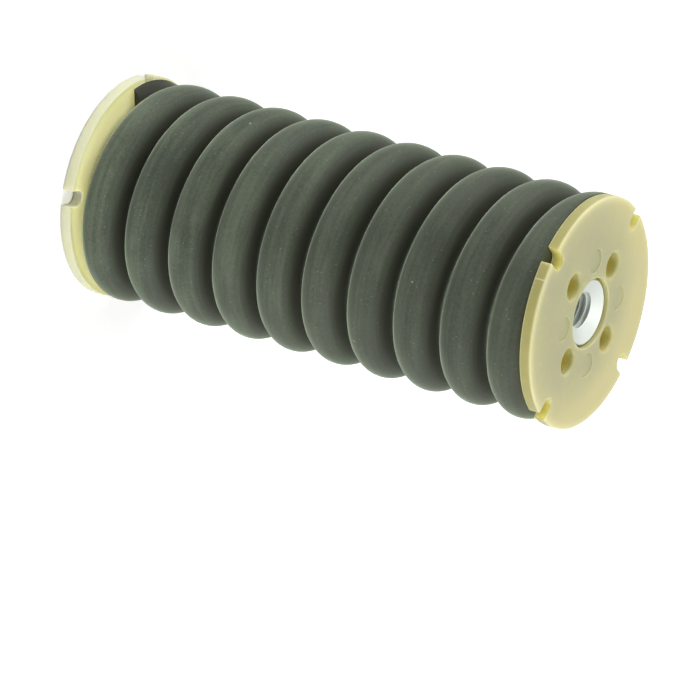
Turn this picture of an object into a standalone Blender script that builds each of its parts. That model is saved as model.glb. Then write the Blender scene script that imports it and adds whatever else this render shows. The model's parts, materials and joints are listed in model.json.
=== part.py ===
"""Anti-vibration mount: a thick left-handed coil between two moulded end caps.

Each cap is one moulding with a flange, a plug that fills the bore of the coil,
and a threaded metal bush let into the plug. The mount stands on its lower cap:
the origin is the centre of that cap's outer face and the coil's axis is +Z.
"""

from math import cos, pi, radians, sin, tau

import bmesh
import bpy
from mathutils import Matrix

MM = 0.001

# Sizes of the whole mount
OVERALL_LENGTH = 78.6 * MM
SEAT_GAP = 0.3 * MM            # left between pieces that touch
CUT_OVERRUN = 1.0 * MM         # how far a cutter reaches past what it cuts
WELD_DISTANCE = 0.01 * MM

# Threaded bushes
BUSH_RADIUS = 4.8 * MM
BUSH_LENGTH = 12.5 * MM
BUSH_RECESS = 0.6 * MM         # rim of the bush below the cap's face
BUSH_EDGE = 0.2 * MM
DISH_DEPTH = 0.9 * MM          # fall of the dished face to the thread
THREAD_RADIUS = 2.5 * MM       # crest of the thread
THREAD_CHAMFER = 0.15 * MM
MOUTH_RADIUS = THREAD_RADIUS + THREAD_CHAMFER
WAIST_DEPTH = 0.6 * MM         # groove that the plastic grips
WAIST_LENGTH = 4.0 * MM
BUSH_STEPS = 32

# Plugs of the caps, each round its bush
SOCKET_RADIUS = BUSH_RADIUS + SEAT_GAP
SOCKET_DEPTH = BUSH_RECESS + BUSH_LENGTH + SEAT_GAP
PLUG_WALL = 4.6 * MM           # between the bush and the coil
PLUG_RADIUS = SOCKET_RADIUS + PLUG_WALL
PLUG_END_WALL = 1.8 * MM       # behind the bush
PLUG_LENGTH = SOCKET_DEPTH + PLUG_END_WALL
PLUG_CHAMFER = 0.7 * MM
OUTLET_CLEARANCE = 0.5 * MM    # round the thread's mouth
OUTLET_RADIUS = MOUTH_RADIUS + OUTLET_CLEARANCE

# Blind holes that core out the plug's wall
HOLE_INNER_WALL = 0.85 * MM
HOLE_OUTER_WALL = 0.3 * MM
HOLE_RADIUS = (PLUG_WALL - HOLE_INNER_WALL - HOLE_OUTER_WALL) / 2
HOLE_CIRCLE_RADIUS = SOCKET_RADIUS + HOLE_INNER_WALL + HOLE_RADIUS
HOLE_DEPTH = 4.0 * MM
HOLE_BEVEL = 0.4 * MM          # round the mouth
HOLE_STEPS = 16

# Coil, wound round the plugs
BORE_RADIUS = PLUG_RADIUS + SEAT_GAP
WIRE_RADIUS = 3.33 * MM
TURN_GAP = 0.895 * MM          # free space between one turn and the next
COIL_PITCH = 2 * WIRE_RADIUS + TURN_GAP
WINDING_RADIUS = BORE_RADIUS + WIRE_RADIUS
MOUNT_RADIUS = BORE_RADIUS + 2 * WIRE_RADIUS
TIP_THICKNESS = 1.2 * MM       # what the grinding leaves of the wire at its tip
LOWER_TIP_ANGLE = radians(212.0)
COIL_STEPS = 24                # segments in one turn
WIRE_BEVEL_STEPS = 4           # gives a wire with twelve sides

# Flanges of the caps, as wide as the coil
FLANGE_THICKNESS = 1.83 * MM
COIL_SEAT = FLANGE_THICKNESS + SEAT_GAP
FACE_ROUNDING = 0.3 * MM       # rim edge at the outer face
BACK_ROUNDING = 0.2 * MM       # rim edge beside the coil
ROUNDING_STEPS = 3
CAP_STEPS = 48
UPPER_CAP_TURN = radians(70.0)
LOWER_CAP_TURN = radians(16.6)

# Rim notches, one in line with each blind hole
NOTCH_COUNT = 4
NOTCH_WIDTH = 2.3 * MM
NOTCH_DEPTH = 2.8 * MM         # from the rim to the round end
NOTCH_END_STEPS = 7            # odd, so no corner meets a radial edge

# Colours
RUBBER_COLOUR = (0.075, 0.092, 0.067, 1.0)
NYLON_COLOUR = (0.62, 0.60, 0.36, 1.0)
ZINC_COLOUR = (0.80, 0.83, 0.81, 1.0)


def new_collection(name):
    collection = bpy.data.collections.new(name)
    bpy.context.scene.collection.children.link(collection)
    return collection


def new_material(name, colour, roughness, metallic):
    material = bpy.data.materials.new(name)
    material.use_nodes = True
    shader = material.node_tree.nodes["Principled BSDF"]
    shader.inputs["Base Color"].default_value = colour
    shader.inputs["Roughness"].default_value = roughness
    shader.inputs["Metallic"].default_value = metallic
    material.diffuse_color = colour
    return material


def evaluated_mesh(obj):
    """The mesh that an object shows once its modifiers or curve are worked out."""
    bpy.context.view_layer.update()
    depsgraph = bpy.context.evaluated_depsgraph_get()
    return bpy.data.meshes.new_from_object(obj.evaluated_get(depsgraph))


def mesh_from_curve(curve, name, collection):
    """Turn a curve into a closed mesh object of its own, then remove the curve."""
    source = bpy.data.objects.new(name + "_curve", curve)
    collection.objects.link(source)
    mesh = evaluated_mesh(source)
    shell = bmesh.new()
    shell.from_mesh(mesh)
    bmesh.ops.remove_doubles(shell, verts=shell.verts, dist=WELD_DISTANCE)
    bmesh.ops.recalc_face_normals(shell, faces=shell.faces)
    shell.to_mesh(mesh)
    shell.free()
    obj = bpy.data.objects.new(name, mesh)
    obj.matrix_world = source.matrix_world
    collection.objects.link(obj)
    bpy.data.objects.remove(source)
    return obj


def add_spline(curve, points, cyclic):
    spline = curve.splines.new("POLY")
    spline.points.add(len(points) - 1)
    for target, point in zip(spline.points, points):
        target.co = (*point, 1.0)
    spline.use_cyclic_u = cyclic


def arc(centre_x, centre_y, radius, start, end, steps):
    """Points along an arc, both ends included."""
    angles = [start + (end - start) * step / steps for step in range(steps + 1)]
    return [(centre_x + radius * cos(a), centre_y + radius * sin(a)) for a in angles]


def turned(name, profile, steps, collection):
    """Turn a closed profile of (radius, height) points about Z."""
    mesh = bpy.data.meshes.new(name)
    count = len(profile)
    edges = [(index, (index + 1) % count) for index in range(count)]
    mesh.from_pydata([(radius, 0.0, height) for radius, height in profile], edges, [])
    obj = bpy.data.objects.new(name, mesh)
    collection.objects.link(obj)
    screw = obj.modifiers.new("Turn", "SCREW")
    screw.steps = steps
    screw.render_steps = steps
    screw.use_merge_vertices = True
    screw.merge_threshold = WELD_DISTANCE
    return obj


def mark_as_cutter(cutter):
    cutter.hide_render = True
    cutter.display_type = "WIRE"


def upright_cutter(name, outlines, top, bottom, collection):
    """Flat outlines in XY carried from one height to another as one cutter."""
    curve = bpy.data.curves.new(name, "CURVE")
    curve.dimensions = "2D"
    curve.fill_mode = "BOTH"
    curve.extrude = (top - bottom) / 2
    for outline in outlines:
        add_spline(curve, [(x, y, 0.0) for x, y in outline], True)
    cutter = mesh_from_curve(curve, name, collection)
    cutter.location.z = (top + bottom) / 2
    mark_as_cutter(cutter)
    return cutter


def add_boolean(obj, cutter, operation):
    boolean = obj.modifiers.new(cutter.name, "BOOLEAN")
    boolean.operation = operation
    boolean.solver = "EXACT"
    boolean.object = cutter


def finish(obj, material):
    """Keep the shape that the modifiers give, shaded smooth between its edges."""
    mesh = evaluated_mesh(obj)
    obj.modifiers.clear()
    obj.data = mesh
    mesh.materials.clear()
    mesh.materials.append(material)
    mesh.shade_smooth()
    mesh.set_sharp_from_angle(angle=radians(35.0))


def helix_points():
    """Centre line of the wire, from the lower tip to the upper one."""
    tip_height = COIL_SEAT + TIP_THICKNESS - WIRE_RADIUS
    rise = OVERALL_LENGTH - 2 * tip_height
    turns = rise / COIL_PITCH
    count = round(turns * COIL_STEPS)
    points = []
    for index in range(count + 1):
        share = index / count
        angle = LOWER_TIP_ANGLE - tau * turns * share
        height = tip_height + rise * share
        points.append((WINDING_RADIUS * cos(angle), WINDING_RADIUS * sin(angle), height))
    return points


def build_coil(parts, cutters, material):
    """The coil, wound from one wire and ground flat where it meets the flanges."""
    curve = bpy.data.curves.new("coil", "CURVE")
    curve.dimensions = "3D"
    curve.twist_mode = "Z_UP"
    curve.bevel_depth = WIRE_RADIUS
    curve.bevel_resolution = WIRE_BEVEL_STEPS
    curve.use_fill_caps = True
    add_spline(curve, helix_points(), False)
    coil = mesh_from_curve(curve, "coil", parts)
    reach = MOUNT_RADIUS + CUT_OVERRUN
    outline = [(reach, reach), (-reach, reach), (-reach, -reach), (reach, -reach)]
    room = upright_cutter("grinding_room", [outline], OVERALL_LENGTH - COIL_SEAT, COIL_SEAT,
                          cutters)
    add_boolean(coil, room, "INTERSECT")
    finish(coil, material)
    return coil


def cap_profile():
    """Half section of a cap: its outer face is at height zero, its plug below."""
    grip_radius = SOCKET_RADIUS - WAIST_DEPTH
    grip_middle = BUSH_RECESS + BUSH_LENGTH / 2
    grip_half = WAIST_LENGTH / 2 - SEAT_GAP
    profile = [(SOCKET_RADIUS, 0.0)]
    profile += arc(MOUNT_RADIUS - FACE_ROUNDING, -FACE_ROUNDING, FACE_ROUNDING,
                   pi / 2, 0.0, ROUNDING_STEPS)
    profile += arc(MOUNT_RADIUS - BACK_ROUNDING, BACK_ROUNDING - FLANGE_THICKNESS,
                   BACK_ROUNDING, 0.0, -pi / 2, ROUNDING_STEPS)
    profile += [
        (PLUG_RADIUS, -FLANGE_THICKNESS),
        (PLUG_RADIUS, PLUG_CHAMFER - PLUG_LENGTH),
        (PLUG_RADIUS - PLUG_CHAMFER, -PLUG_LENGTH),
        (OUTLET_RADIUS, -PLUG_LENGTH),
        (OUTLET_RADIUS, -SOCKET_DEPTH),
        (SOCKET_RADIUS, -SOCKET_DEPTH),
        (SOCKET_RADIUS, -grip_middle - grip_half),
        (grip_radius, WAIST_DEPTH - grip_middle - grip_half),
        (grip_radius, grip_half - WAIST_DEPTH - grip_middle),
        (SOCKET_RADIUS, grip_half - grip_middle),
    ]
    return profile


def ring_angles():
    return [tau * index / NOTCH_COUNT for index in range(NOTCH_COUNT)]


def hole_outline(angle):
    centre_x = HOLE_CIRCLE_RADIUS * cos(angle)
    centre_y = HOLE_CIRCLE_RADIUS * sin(angle)
    return arc(centre_x, centre_y, HOLE_RADIUS, 0.0, tau, HOLE_STEPS)[:-1]


def mouth_cutter(name, collection):
    """Cones that bevel the mouths of the blind holes at 45 degrees."""
    bottom = -2 * HOLE_BEVEL
    top = CUT_OVERRUN
    bottom_radius = HOLE_RADIUS - HOLE_BEVEL
    shell = bmesh.new()
    for angle in ring_angles():
        centre = (HOLE_CIRCLE_RADIUS * cos(angle), HOLE_CIRCLE_RADIUS * sin(angle),
                  (bottom + top) / 2)
        bmesh.ops.create_cone(shell, cap_ends=True, segments=HOLE_STEPS,
                              radius1=bottom_radius, radius2=bottom_radius + top - bottom,
                              depth=top - bottom, matrix=Matrix.Translation(centre))
    mesh = bpy.data.meshes.new(name)
    shell.to_mesh(mesh)
    shell.free()
    cutter = bpy.data.objects.new(name, mesh)
    collection.objects.link(cutter)
    mark_as_cutter(cutter)
    return cutter


def notch_outline(angle):
    """A slot with a round inner end, open past the rim."""
    half = NOTCH_WIDTH / 2
    end_centre = MOUNT_RADIUS - NOTCH_DEPTH + half
    outer = MOUNT_RADIUS + CUT_OVERRUN
    slot = arc(end_centre, 0.0, half, pi / 2, 3 * pi / 2, NOTCH_END_STEPS)
    slot += [(outer, -half), (outer, half)]
    return [(x * cos(angle) - y * sin(angle), x * sin(angle) + y * cos(angle)) for x, y in slot]


def build_cap(name, parts, cutters, material):
    """A cap with blind holes round the bush and notches in the rim."""
    cap = turned(name, cap_profile(), CAP_STEPS, parts)
    holes = upright_cutter(name + "_holes", [hole_outline(a) for a in ring_angles()],
                           CUT_OVERRUN, -HOLE_DEPTH, cutters)
    mouths = mouth_cutter(name + "_mouths", cutters)
    notches = upright_cutter(name + "_notches", [notch_outline(a) for a in ring_angles()],
                             CUT_OVERRUN, -FLANGE_THICKNESS - CUT_OVERRUN, cutters)
    for cutter in (holes, mouths, notches):
        add_boolean(cap, cutter, "DIFFERENCE")
    finish(cap, material)
    for cutter in (holes, mouths, notches):
        cutter.parent = cap
    return cap


def bush_profile():
    """Half section of a bush, in the same frame as the cap that holds it."""
    rim = -BUSH_RECESS
    end = rim - BUSH_LENGTH
    middle = rim - BUSH_LENGTH / 2
    waist_radius = BUSH_RADIUS - WAIST_DEPTH
    waist_half = WAIST_LENGTH / 2
    mouth = rim - DISH_DEPTH
    return [
        (MOUTH_RADIUS, mouth),
        (BUSH_RADIUS - BUSH_EDGE, rim),
        (BUSH_RADIUS, rim - BUSH_EDGE),
        (BUSH_RADIUS, middle + waist_half),
        (waist_radius, middle + waist_half - WAIST_DEPTH),
        (waist_radius, middle - waist_half + WAIST_DEPTH),
        (BUSH_RADIUS, middle - waist_half),
        (BUSH_RADIUS, end + BUSH_EDGE),
        (BUSH_RADIUS - BUSH_EDGE, end),
        (MOUTH_RADIUS, end),
        (THREAD_RADIUS, end + THREAD_CHAMFER),
        (THREAD_RADIUS, mouth - THREAD_CHAMFER),
    ]


def build_bush(name, parts, material):
    bush = turned(name, bush_profile(), BUSH_STEPS, parts)
    finish(bush, material)
    return bush


def place_end(pieces, turn, height, upside_down):
    """Carry a cap and its bush on an empty at the centre of the cap's outer face."""
    mark = bpy.data.objects.new(pieces[0].name + "_place", None)
    pieces[0].users_collection[0].objects.link(mark)
    for piece in pieces:
        piece.parent = mark
    mark.location.z = height
    mark.rotation_euler = (pi if upside_down else 0.0, 0.0, turn)


def main():
    for obj in list(bpy.data.objects):
        bpy.data.objects.remove(obj)
    parts = new_collection("anti_vibration_mount")
    cutters = new_collection("cutters")
    rubber = new_material("dark_rubber", RUBBER_COLOUR, 0.75, 0.0)
    nylon = new_material("natural_nylon", NYLON_COLOUR, 0.45, 0.0)
    zinc = new_material("zinc_plated_steel", ZINC_COLOUR, 0.35, 1.0)
    build_coil(parts, cutters, rubber)
    lower_cap = build_cap("lower_cap", parts, cutters, nylon)
    upper_cap = build_cap("upper_cap", parts, cutters, nylon)
    lower_bush = build_bush("lower_bush", parts, zinc)
    upper_bush = build_bush("upper_bush", parts, zinc)
    place_end([lower_cap, lower_bush], LOWER_CAP_TURN, 0.0, True)
    place_end([upper_cap, upper_bush], UPPER_CAP_TURN, OVERALL_LENGTH, False)
    bpy.context.view_layer.update()


main()
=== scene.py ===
"""Looks of an anti-vibration mount: its coil, moulded caps, threaded bushes and stage.

Every size is in metres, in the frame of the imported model. The mount stands on its
lower cap, and the axis of the coil is Z. Each cap and bush is made in a frame of its
own, with the cap's outer face at height zero, and is then carried to its end.
"""

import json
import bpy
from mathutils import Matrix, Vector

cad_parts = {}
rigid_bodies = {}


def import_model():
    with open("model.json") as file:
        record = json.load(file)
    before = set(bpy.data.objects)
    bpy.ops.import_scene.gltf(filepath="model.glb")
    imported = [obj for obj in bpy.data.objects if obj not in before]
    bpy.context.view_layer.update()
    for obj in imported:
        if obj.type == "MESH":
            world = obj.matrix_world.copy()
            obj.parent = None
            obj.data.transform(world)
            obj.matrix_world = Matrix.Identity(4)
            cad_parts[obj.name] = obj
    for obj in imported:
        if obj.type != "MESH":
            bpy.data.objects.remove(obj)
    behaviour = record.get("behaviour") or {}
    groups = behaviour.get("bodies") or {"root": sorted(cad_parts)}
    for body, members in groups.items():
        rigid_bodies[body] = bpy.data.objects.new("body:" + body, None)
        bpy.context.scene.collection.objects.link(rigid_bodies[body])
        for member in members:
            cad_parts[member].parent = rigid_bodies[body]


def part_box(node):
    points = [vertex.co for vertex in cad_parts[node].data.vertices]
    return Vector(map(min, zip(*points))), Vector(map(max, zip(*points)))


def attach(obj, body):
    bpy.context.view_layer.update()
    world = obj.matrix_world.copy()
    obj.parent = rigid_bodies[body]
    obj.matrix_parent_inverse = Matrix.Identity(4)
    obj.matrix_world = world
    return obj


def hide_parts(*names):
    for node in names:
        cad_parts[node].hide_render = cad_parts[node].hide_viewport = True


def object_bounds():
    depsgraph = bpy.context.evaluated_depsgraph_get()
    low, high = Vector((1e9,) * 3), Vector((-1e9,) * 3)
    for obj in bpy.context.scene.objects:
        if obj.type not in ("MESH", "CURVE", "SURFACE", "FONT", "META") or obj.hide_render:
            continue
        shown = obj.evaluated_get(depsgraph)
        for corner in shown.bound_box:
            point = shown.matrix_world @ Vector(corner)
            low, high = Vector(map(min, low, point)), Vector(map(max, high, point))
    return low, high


bl_info = {
    "name": "Anti-vibration mount",
    "version": (1, 0, 0),
    "blender": (4, 5, 0),
    "location": "View3D > Sidebar > Mount",
    "description": "Builds a coil between moulded end caps with threaded bushes, and its stage",
    "category": "Add Mesh",
}

from collections import namedtuple
from functools import partial, reduce
from math import cos, hypot, pi, radians, sin, tau

import bmesh
import bpy
from bpy.props import FloatProperty, FloatVectorProperty, IntProperty, PointerProperty
from mathutils import Matrix, Vector

for leftover in list(bpy.data.objects):
    bpy.data.objects.remove(leftover)
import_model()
CAD_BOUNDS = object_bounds()

MM = 0.001
BODY = "root"
UPPER_CAP_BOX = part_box("upper_cap")
UPPER_BUSH_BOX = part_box("upper_bush")
LENGTH = CAD_BOUNDS[1].z - CAD_BOUNDS[0].z
PLUG_LENGTH = UPPER_CAP_BOX[1].z - UPPER_CAP_BOX[0].z
BUSH_RECESS = UPPER_CAP_BOX[1].z - UPPER_BUSH_BOX[1].z
BUSH_LENGTH = UPPER_BUSH_BOX[1].z - UPPER_BUSH_BOX[0].z
COIL_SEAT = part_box("coil")[0].z

# How closely meshes are welded, cut and shaded
TURN_WELD = 0.001 * MM
CUT_WELD = 0.002 * MM
THREAD_WELD = 0.003 * MM
WIRE_WELD = 0.01 * MM
TRIM_SNAP = 0.0005 * MM
FLAT_ANGLE = radians(0.5)      # faces closer to one plane than this become one
SHARP_ANGLE = radians(32.0)
OVERRUN = 1.0 * MM             # how far a cutter reaches past what it cuts

# Small sizes of the caps, and steps round their curves
OUTLET_CLEARANCE = 0.5 * MM    # round the thread's mouth, behind the bush
PLUG_CHAMFER = 0.7 * MM
MARK_EDGE = 0.05 * MM
SOCKET_STEPS = 3
FACE_STEPS = 6
BACK_STEPS = 5
MOUTH_STEPS = 4
HOLE_STEPS = 48
NOTCH_STEPS = 16
FLARE_ANGLES = (pi / 2, pi / 3, pi / 6, 0.0)

# Thread: where its flanks start and end, in shares of the pitch
CREST_CLEARANCE = 0.05 * MM
CREST_END = 0.2
ROOT_START = 0.55
ROOT_END = 0.68
THREAD_STEPS = 64
SPARE_PITCHES = 3

# Rubber: scales and shares of its noise, and limits along and across the wire
STREAK_STRETCH = 0.07
BAND_SCALE = 420.0
STREAK_SCALE = 1500.0
BAND_SHARE = 0.5
LINE_SHARE = 0.55
TONE_RANGE = (0.37, 0.66)
FALLOFF_RANGE = (0.05, 0.7)      # metres of wire over which painted shade darkens it towards the upper end
FALLOFF_SHARE = 0.34
RAGGED_EDGE = 1.2 * MM
# Painted shade: the wire is darker away from its outer crest, on its sides towards the
# neighbouring turns
CREST_SHADE_RANGE = (1.8 * MM, 3.9 * MM)
# Painted shade on the first stretch of wire from its lower tip
TIP_SHADE_RANGE = (7.5 * MM, 9.5 * MM)
FINE_DUST_COVER = 0.35
COARSE_DUST_COVER = 0.5
RUBBER_ROUGHNESS = (0.58, 0.8)
RUBBER_GRAIN = 0.03 * MM
STREAK_DEPTH = 0.05 * MM

# Nylon and zinc: shares, depths and what the mottle does
# Painted light: how much the tone lightens across the caps, towards +X and +Y
LIGHT_DRIFT = (0.06, 0.30)           # of the tone, across the cap
PATCH_SPREAD = 2.4 * MM
PATCH_RANGE = (0.35, 0.65)
PATCH_SHARE = 0.15
EDGE_LIGHT = 0.4
MARK_COVER = 0.3
MOTTLE_RANGE = (0.3, 0.7)
NYLON_ROUGHNESS = (0.38, 0.52)
NYLON_GRAIN = 0.012 * MM
ZINC_ROUGHNESS = (0.50, 0.60)
DULL_ZINC = 0.93
RING_DEPTH = 0.004 * MM
BLACK = (0.0, 0.0, 0.0)

# Where the caps' masks start and end, below the outer face
HOLE_DEPTH = (0.1 * MM, 2.0 * MM)
NOTCH_DEPTH = (0.03 * MM, 0.5 * MM)
RIM_DEPTH = (0.1 * MM, 0.5 * MM)
# The same, from the flange's thickness
BACK_START = (-0.2 * MM, -0.05 * MM)
NOTCH_STOP = (-0.03 * MM, -0.12 * MM)
RIM_STOP = (-0.05 * MM, -0.2 * MM)
# The same, from the end of a notch
NOTCH_END = (-0.5 * MM, -0.3 * MM)
# The same, from the radius of the plug
THROUGH_LIGHT_START = -0.5 * MM
HOLE_STOP = (0.2 * MM, 0.1 * MM)
GLOW_START = (2.0 * MM, 4.0 * MM)
# The same, from the radius of the rim
THROUGH_LIGHT_END = 2.0 * MM
EDGE_START = (-1.3 * MM, -0.2 * MM)
RIM_START = (-0.3 * MM, -0.05 * MM)
WITNESS_START = (-0.2 * MM, -0.1 * MM)
NOTCH_MOUTH = (-0.05 * MM, -0.3 * MM)
GLOW_STOP = (-0.1 * MM, -1.0 * MM)

# Camera, floor, room and lamps
SENSOR_WIDTH = 36.0
CLIP_RANGE = (10 * MM, 100.0)
DULL_FLOOR = 0.99
FLOOR_GAP = 0.05 * MM          # under the mount
FLOOR_FADE = (0.3, 1.6)
FLOOR_LIGHT = (0.44, 0.95)
ROOM_LIGHT = (0.3, 1.0)        # on the object, and as the camera sees it
WHITE = (1.0, 1.0, 1.0, 1.0)
LAMPS = [
    # name, place, size and watts
    ("overhead", (0.0, -0.1, 1.5), 0.3, 3.7),
    ("key", (-1.1, -0.15, 0.5), 0.8, 9.5),
    ("front", (-0.2, -1.2, 0.06), 0.8, 3.2),
    ("fill", (1.1, -0.15, 0.5), 0.8, 9.0),
]

# What differs between the two caps' nylon: lit and shaded copies of its painted colours, how
# deep light goes in, and the witness line's turn
CapLook = namedtuple("CapLook", "flange rim recess light_depth witness_angle")


# Settings


class MountCoilSettings(bpy.types.PropertyGroup):
    """Sizes and colours of the coil."""

    outer_radius: FloatProperty(
        name="Outer radius", description="Outside of the coil",
        default=CAD_BOUNDS[1].x, unit="LENGTH")
    wire_radius: FloatProperty(
        name="Wire radius", description="Half the thickness of the wire",
        default=3.33 * MM, unit="LENGTH")
    turn_gap: FloatProperty(
        name="Turn gap", description="Free space between one turn and the next",
        default=0.895 * MM, unit="LENGTH")
    tip_thickness: FloatProperty(
        name="Tip thickness", description="What the grinding leaves of the wire at its tip",
        default=1.2 * MM, unit="LENGTH")
    tip_angle: FloatProperty(
        name="Tip angle", description="Where the lower tip lies round the axis",
        default=radians(212.0), subtype="ANGLE")
    turn_steps: IntProperty(
        name="Steps in a turn", description="Rings of the mesh in one turn", default=96)
    wire_sides: IntProperty(
        name="Sides of the wire", description="Faces round the wire", default=40)
    dark_colour: FloatVectorProperty(
        name="Dark rubber", description="Rubber in the darker streaks",
        default=(0.043, 0.055, 0.035), subtype="COLOR")
    light_colour: FloatVectorProperty(
        name="Light rubber", description="Rubber in the lighter streaks",
        default=(0.138, 0.169, 0.118), subtype="COLOR")
    # Painted shade: the dark colour painted between the turns, at the lower tip and towards the
    # upper end
    painted_shade_colour: FloatVectorProperty(
        name="Groove rubber", description="Clean rubber between the turns",
        default=(0.031, 0.034, 0.021), subtype="COLOR")
    dust_colour: FloatVectorProperty(
        name="Dust", description="Specks of dust on the rubber",
        default=(0.42, 0.46, 0.40), subtype="COLOR")


class MountCapSettings(bpy.types.PropertyGroup):
    """Sizes and colours of the end caps."""

    radius: FloatProperty(
        name="Radius", description="Rim of the flange", default=CAD_BOUNDS[1].x, unit="LENGTH")
    flange_thickness: FloatProperty(
        name="Flange thickness", description="Thickness of the flange",
        default=1.83 * MM, unit="LENGTH")
    face_rounding: FloatProperty(
        name="Face rounding", description="Rim edge at the outer face",
        default=0.3 * MM, unit="LENGTH")
    back_rounding: FloatProperty(
        name="Back rounding", description="Rim edge beside the coil",
        default=0.2 * MM, unit="LENGTH")
    plug_radius: FloatProperty(
        name="Plug radius", description="Plug in the bore of the coil",
        default=9.7 * MM, unit="LENGTH")
    socket_radius: FloatProperty(
        name="Socket radius", description="Opening round the bush",
        default=5.05 * MM, unit="LENGTH")
    hole_radius: FloatProperty(
        name="Hole radius", description="Blind holes in the face",
        default=1.82 * MM, unit="LENGTH")
    hole_mouth: FloatProperty(
        name="Hole mouth", description="Rounding of the mouth of each blind hole",
        default=0.5 * MM, unit="LENGTH")
    hole_circle: FloatProperty(
        name="Hole circle", description="From the axis to the middle of each blind hole",
        default=7.76 * MM, unit="LENGTH")
    hole_depth: FloatProperty(
        name="Hole depth", description="Depth of the blind holes",
        default=4.0 * MM, unit="LENGTH")
    notch_width: FloatProperty(
        name="Notch width", description="Width of the notches in the rim",
        default=2.3 * MM, unit="LENGTH")
    notch_depth: FloatProperty(
        name="Notch depth", description="From the rim to the round end of a notch",
        default=2.8 * MM, unit="LENGTH")
    edge: FloatProperty(
        name="Moulded edge", description="Rounding of the socket and notches",
        default=0.16 * MM, unit="LENGTH")
    mark_radius: FloatProperty(
        name="Ejector mark", description="Radius of the ejector marks",
        default=1.76 * MM, unit="LENGTH")
    mark_depth: FloatProperty(
        name="Mark depth", description="Depth of the ejector marks",
        default=0.18 * MM, unit="LENGTH")
    witness_angle: FloatProperty(
        name="Witness line", description="Where the mould's witness line crosses the rim",
        default=radians(192.5), subtype="ANGLE")
    witness_width: FloatProperty(
        name="Witness width", description="Width of the witness line",
        default=0.26 * MM, unit="LENGTH")
    witness_colour: FloatVectorProperty(
        name="Witness nylon", description="Nylon of the witness line",
        default=(0.66, 0.63, 0.36), subtype="COLOR")
    count: IntProperty(
        name="Notches", description="Notches in the rim, with a hole in line with each",
        default=4)
    steps: IntProperty(name="Steps", description="Faces round the cap", default=144)
    upper_turn: FloatProperty(
        name="Upper turn", description="Turn of the upper cap", default=radians(70.0),
        subtype="ANGLE")
    lower_turn: FloatProperty(
        name="Lower turn", description="Turn of the lower cap", default=radians(16.6),
        subtype="ANGLE")
    # Painted light and shade of the face: the core colour is painted shade over the thick plug,
    # the flange colour painted light shining through the thin flange
    core_colour: FloatVectorProperty(
        name="Core nylon", description="Nylon of the face over the plug",
        default=(0.47, 0.462, 0.265), subtype="COLOR")
    flange_colour: FloatVectorProperty(
        name="Flange nylon", description="Nylon of the face towards the rim",
        default=(0.67, 0.62, 0.31), subtype="COLOR")
    edge_colour: FloatVectorProperty(
        name="Edge nylon", description="Nylon of the face's edge, where light shines through",
        default=(0.78, 0.75, 0.50), subtype="COLOR")
    # Painted light: the lower cap's flange and rim take this lighter copy of the nylon, as if
    # lit from behind
    lit_lower_colour: FloatVectorProperty(
        name="Pale nylon", description="Nylon of the lower flange, which is paler",
        default=(0.90, 0.88, 0.57), subtype="COLOR")
    # Painted light: the flange's back beside the coil is painted as if lit through the nylon
    back_light_colour: FloatVectorProperty(
        name="Back nylon", description="Nylon of the flange's side towards the coil",
        default=(1.0, 0.97, 0.53), subtype="COLOR")
    glow_colour: FloatVectorProperty(
        name="Glow", description="Light that comes through the flange beside the coil",
        default=(1.0, 0.93, 0.40), subtype="COLOR")
    glow: FloatProperty(
        name="Glow strength", description="How strongly the flange's back glows",
        default=0.32)
    # Painted light: a lighter copy of the recess colour in the lower flange's notches
    lit_lower_recess_colour: FloatVectorProperty(
        name="Pale recess nylon", description="Nylon inside the notches of the lower flange",
        default=(0.96, 0.93, 0.62), subtype="COLOR")
    light_depth: FloatProperty(
        name="Light depth", description="How deep light goes into the nylon",
        default=2.5 * MM, unit="LENGTH")
    pale_light_depth: FloatProperty(
        name="Pale light depth", description="How deep light goes into the lower cap",
        default=3.0 * MM, unit="LENGTH")
    # Painted shade on the side of the upper cap's rim
    rim_shade_colour: FloatVectorProperty(
        name="Rim nylon", description="Nylon of the rim's side",
        default=(0.39, 0.365, 0.14), subtype="COLOR")
    # Painted light: the amber of light through the nylon, painted inside the holes and notches;
    # it also tints the random mottle of the face
    recess_light_and_mottle_colour: FloatVectorProperty(
        name="Recess nylon", description="Nylon inside the holes and notches",
        default=(0.80, 0.73, 0.25), subtype="COLOR")
    mark_colour: FloatVectorProperty(
        name="Small marks", description="Scattered pale marks on the nylon",
        default=(0.9, 0.9, 0.8), subtype="COLOR")


class MountBushSettings(bpy.types.PropertyGroup):
    """Sizes and colour of the threaded bushes."""

    radius: FloatProperty(
        name="Radius", description="Outside of the bush", default=4.8 * MM, unit="LENGTH")
    edge: FloatProperty(
        name="Edge", description="Chamfer at both rims", default=0.2 * MM, unit="LENGTH")
    dish_depth: FloatProperty(
        name="Dish depth", description="Fall of the dished face to the thread",
        default=0.9 * MM, unit="LENGTH")
    crest_radius: FloatProperty(
        name="Crest radius", description="Crest of the thread", default=2.5 * MM,
        unit="LENGTH")
    root_radius: FloatProperty(
        name="Root radius", description="Root of the thread", default=3.02 * MM,
        unit="LENGTH")
    pitch: FloatProperty(
        name="Pitch", description="Pitch of the thread", default=1.0 * MM, unit="LENGTH")
    chamfer: FloatProperty(
        name="Chamfer", description="Width of the chamfer at the thread's mouth",
        default=0.15 * MM, unit="LENGTH")
    waist_depth: FloatProperty(
        name="Waist depth", description="Groove that the plastic grips",
        default=0.6 * MM, unit="LENGTH")
    waist_length: FloatProperty(
        name="Waist length", description="Length of that groove",
        default=4.0 * MM, unit="LENGTH")
    steps: IntProperty(name="Steps", description="Faces round the bush", default=96)
    colour: FloatVectorProperty(
        name="Zinc", description="Bright zinc plate", default=(0.68, 0.72, 0.68),
        subtype="COLOR")


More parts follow.
